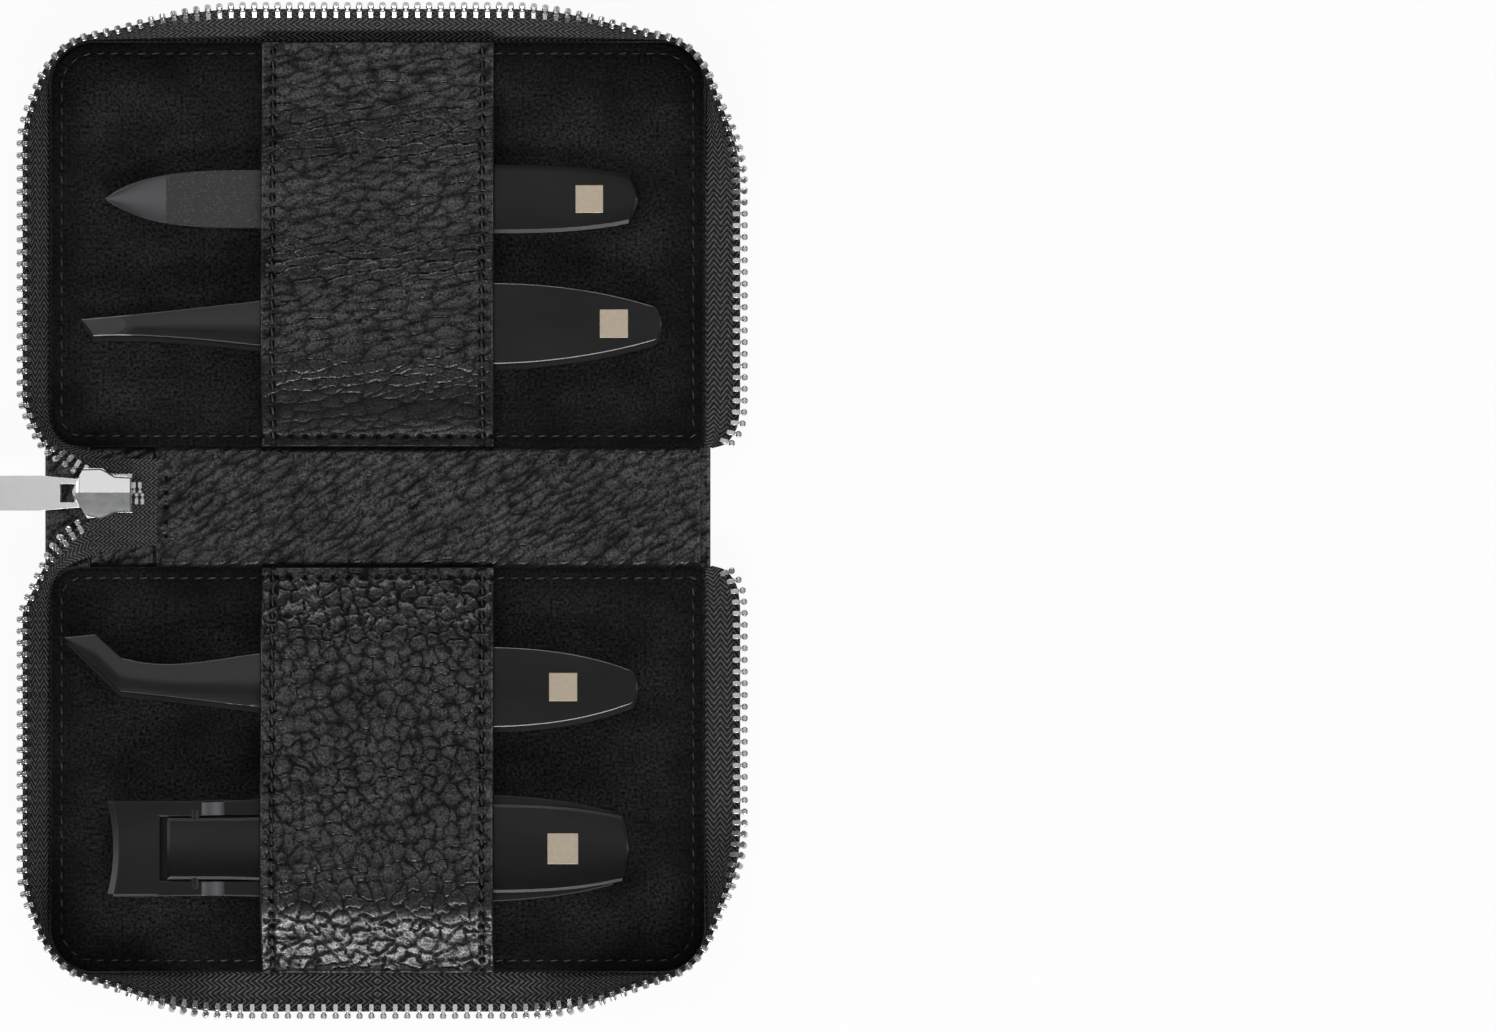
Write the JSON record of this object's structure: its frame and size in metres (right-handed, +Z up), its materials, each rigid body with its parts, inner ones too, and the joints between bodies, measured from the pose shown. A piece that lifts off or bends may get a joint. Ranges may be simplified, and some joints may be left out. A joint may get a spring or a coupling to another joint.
{
  "type": "travel manicure set",
  "caption": "Black leather zip case lying open, with a nail file, slanted and angled tweezers and a nail clipper held under leather straps.",
  "frame": {"origin": "centre of the spine's underside, on the surface that the open case lies on", "axes": "+X along the spine towards the case's right end, +Y towards the half with the nail file, +Z up out of the lining"},
  "size_m": [0.1648, 0.1629, 0.0104],
  "materials": {
    "cover_leather": "pebbled black leather",
    "suede_lining": "black suede",
    "board": "grey board",
    "zip_tape": "black herringbone tape",
    "zip_metal": "silver zip teeth",
    "slider_metal": "bright silver casting",
    "badge_enamel": "plain enamel plate",
    "black_steel": "satin black coated steel",
    "grit": "fine grey abrasive",
    "bronze": "plain bronze square",
    "pin_steel": "plain steel pin"
  },
  "bodies": {
    "bottom_half": {"bottom_cover": "cover_leather", "bottom_board": "board", "bottom_lining": "suede_lining", "bottom_strap": "cover_leather", "bottom_zip_tape_corners": "zip_tape", "bottom_zip_teeth_corners": "zip_metal"},
    "spine": {"spine_leather": "cover_leather", "spine_card": "board", "spine_facing": "cover_leather", "zip_end_tape": "zip_tape", "zip_end_teeth": "zip_metal"},
    "top_half": {"top_cover": "cover_leather", "top_board": "board", "top_lining": "suede_lining", "top_strap": "cover_leather", "top_zip_tape_corners": "zip_tape", "top_zip_teeth_corners": "zip_metal", "cover_badge": "badge_enamel"},
    "bottom_left_flap": {"bottom_zip_tape_left": "zip_tape", "bottom_zip_teeth_left": "zip_metal"},
    "bottom_far_flap": {"bottom_zip_tape_far": "zip_tape", "bottom_zip_teeth_far": "zip_metal"},
    "bottom_right_flap": {"bottom_zip_tape_right": "zip_tape", "bottom_zip_teeth_right": "zip_metal"},
    "top_left_flap": {"top_zip_tape_left": "zip_tape", "top_zip_teeth_left": "zip_metal"},
    "top_far_flap": {"top_zip_tape_far": "zip_tape", "top_zip_teeth_far": "zip_metal"},
    "top_right_flap": {"top_zip_tape_right": "zip_tape", "top_zip_teeth_right": "zip_metal"},
    "slider": {"slider_body": "slider_metal", "slider_crown": "slider_metal"},
    "pull": {"pull_tab": "slider_metal", "pull_cord": "cover_leather"},
    "file": {"file_body": "black_steel", "file_grit": "grit", "file_inlay": "bronze"},
    "tweezer": {"tweezer_lower_arm": "black_steel"},
    "tweezer_top": {"tweezer_upper_arm": "black_steel", "tweezer_inlay": "bronze"},
    "angled_tweezer": {"angled_tweezer_lower_arm": "black_steel"},
    "angled_tweezer_top": {"angled_tweezer_upper_arm": "black_steel", "angled_tweezer_inlay": "bronze"},
    "clipper": {"clipper_lower_arm": "black_steel", "clipper_rivet": "pin_steel"},
    "clipper_top": {"clipper_upper_arm": "black_steel", "clipper_pin": "pin_steel"},
    "clipper_lever": {"clipper_lever": "black_steel", "clipper_inlay": "bronze"}
  },
  "joints": [
    {"name": "spine_fold", "type": "hinge", "parent": "bottom_half", "child": "spine", "pos_m": [0, -0.0088, 0.0006], "axis": [1, 0, 0], "range_deg": [0, 90]},
    {"name": "lid_fold", "type": "hinge", "parent": "spine", "child": "top_half", "pos_m": [0, 0.0088, 0.0006], "axis": [1, 0, 0], "range_deg": [0, 90]},
    {"name": "bottom_left_flap_rise", "type": "hinge", "parent": "bottom_half", "child": "bottom_left_flap", "pos_m": [-0.0527, -0.042, 0.0019], "axis": [0, 1, 0], "range_deg": [0, 37]},
    {"name": "bottom_far_flap_rise", "type": "hinge", "parent": "bottom_half", "child": "bottom_far_flap", "pos_m": [0, -0.0747, 0.0019], "axis": [-1, 0, 0], "range_deg": [0, 86]},
    {"name": "bottom_right_flap_rise", "type": "hinge", "parent": "bottom_half", "child": "bottom_right_flap", "pos_m": [0.0527, -0.038, 0.0019], "axis": [0, -1, 0], "range_deg": [0, 90]},
    {"name": "top_left_flap_rise", "type": "hinge", "parent": "top_half", "child": "top_left_flap", "pos_m": [-0.0527, 0.042, 0.0019], "axis": [0, 1, 0], "range_deg": [0, 37]},
    {"name": "top_far_flap_rise", "type": "hinge", "parent": "top_half", "child": "top_far_flap", "pos_m": [0, 0.0747, 0.0019], "axis": [1, 0, 0], "range_deg": [0, 51]},
    {"name": "top_right_flap_rise", "type": "hinge", "parent": "top_half", "child": "top_right_flap", "pos_m": [0.0527, 0.038, 0.0019], "axis": [0, -1, 0], "range_deg": [0, 90]},
    {"name": "slider_slide", "type": "slide", "parent": "spine", "child": "slider", "axis": [1, 0, 0], "range_m": [-0.003, 0]},
    {"name": "pull_swing", "type": "hinge", "parent": "slider", "child": "pull", "pos_m": [-0.0476, 0.0022, 0.0059], "axis": [0, -1, 0], "range_deg": [-95, 0]},
    {"name": "file_slide", "type": "slide", "parent": "top_half", "child": "file", "axis": [-1, 0, 0], "range_m": [-0.115, 0]},
    {"name": "tweezer_slide", "type": "slide", "parent": "top_half", "child": "tweezer", "axis": [-1, 0, 0], "range_m": [-0.115, 0]},
    {"name": "tweezer_squeeze", "type": "hinge", "parent": "tweezer", "child": "tweezer_top", "pos_m": [0.03338, 0.02925, 0.00512], "axis": [0, -1, 0], "range_deg": [0, 0.7], "stiffness_Nm_per_rad": 12},
    {"name": "angled_tweezer_slide", "type": "slide", "parent": "bottom_half", "child": "angled_tweezer", "axis": [-1, 0, 0], "range_m": [-0.115, 0]},
    {"name": "angled_tweezer_squeeze", "type": "hinge", "parent": "angled_tweezer", "child": "angled_tweezer_top", "pos_m": [0.02972, -0.0287, 0.00512], "axis": [0, -1, 0], "range_deg": [0, 0.7], "stiffness_Nm_per_rad": 12},
    {"name": "clipper_slide", "type": "slide", "parent": "bottom_half", "child": "clipper", "axis": [-1, 0, 0], "range_m": [-0.115, 0]},
    {"name": "clipper_jaw", "type": "hinge", "parent": "clipper", "child": "clipper_top", "pos_m": [0.0391, -0.0544, 0.00447], "axis": [0, -1, 0], "range_deg": [0, 0.55]},
    {"name": "clipper_press", "type": "hinge", "parent": "clipper_top", "child": "clipper_lever", "pos_m": [-0.02887, -0.0544, 0.00768], "axis": [0, 1, 0], "range_deg": [0, 1], "stiffness_Nm_per_rad": 30}
  ],
  "couplings": [
    {"joint": "lid_fold", "follows": "spine_fold", "ratio": 1},
    {"joint": "bottom_left_flap_rise", "follows": "spine_fold", "ratio": 0.41111},
    {"joint": "bottom_far_flap_rise", "follows": "spine_fold", "ratio": 0.95556},
    {"joint": "bottom_right_flap_rise", "follows": "spine_fold", "ratio": 1},
    {"joint": "top_left_flap_rise", "follows": "spine_fold", "ratio": 0.41111},
    {"joint": "top_far_flap_rise", "follows": "spine_fold", "ratio": 0.56667},
    {"joint": "top_right_flap_rise", "follows": "spine_fold", "ratio": 1},
    {"joint": "clipper_jaw", "follows": "clipper_press", "ratio": 0.55}
  ]
}
